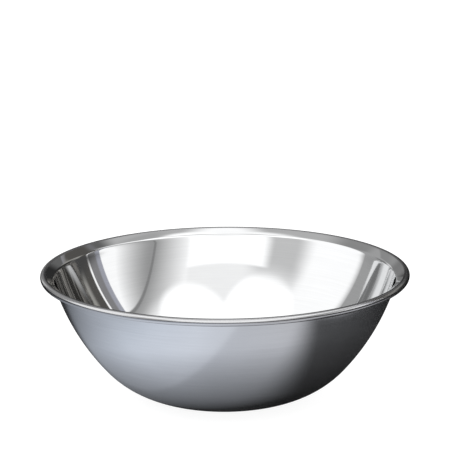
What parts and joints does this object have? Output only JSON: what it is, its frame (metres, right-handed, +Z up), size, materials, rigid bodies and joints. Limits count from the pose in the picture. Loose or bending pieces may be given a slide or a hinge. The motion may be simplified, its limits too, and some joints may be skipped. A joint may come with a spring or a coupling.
{
  "type": "mixing bowl",
  "caption": "Round mixing bowl of drawn sheet steel: flat foot, curved wall flaring upward, short lip and rolled bead rim.",
  "frame": {"origin": "centre of the foot, on the surface that the bowl stands on", "axes": "+Z up along the bowl's axis of symmetry; the bowl is the same all round, so X and Y are free"},
  "size_m": [0.241, 0.241, 0.084],
  "materials": {
    "stainless_steel": "mirror-polished inside and on the lip, a duller bead, satin outside with fine lines that run round the bowl"
  },
  "bodies": {
    "root": {"bowl": "stainless_steel"}
  },
  "joints": []
}
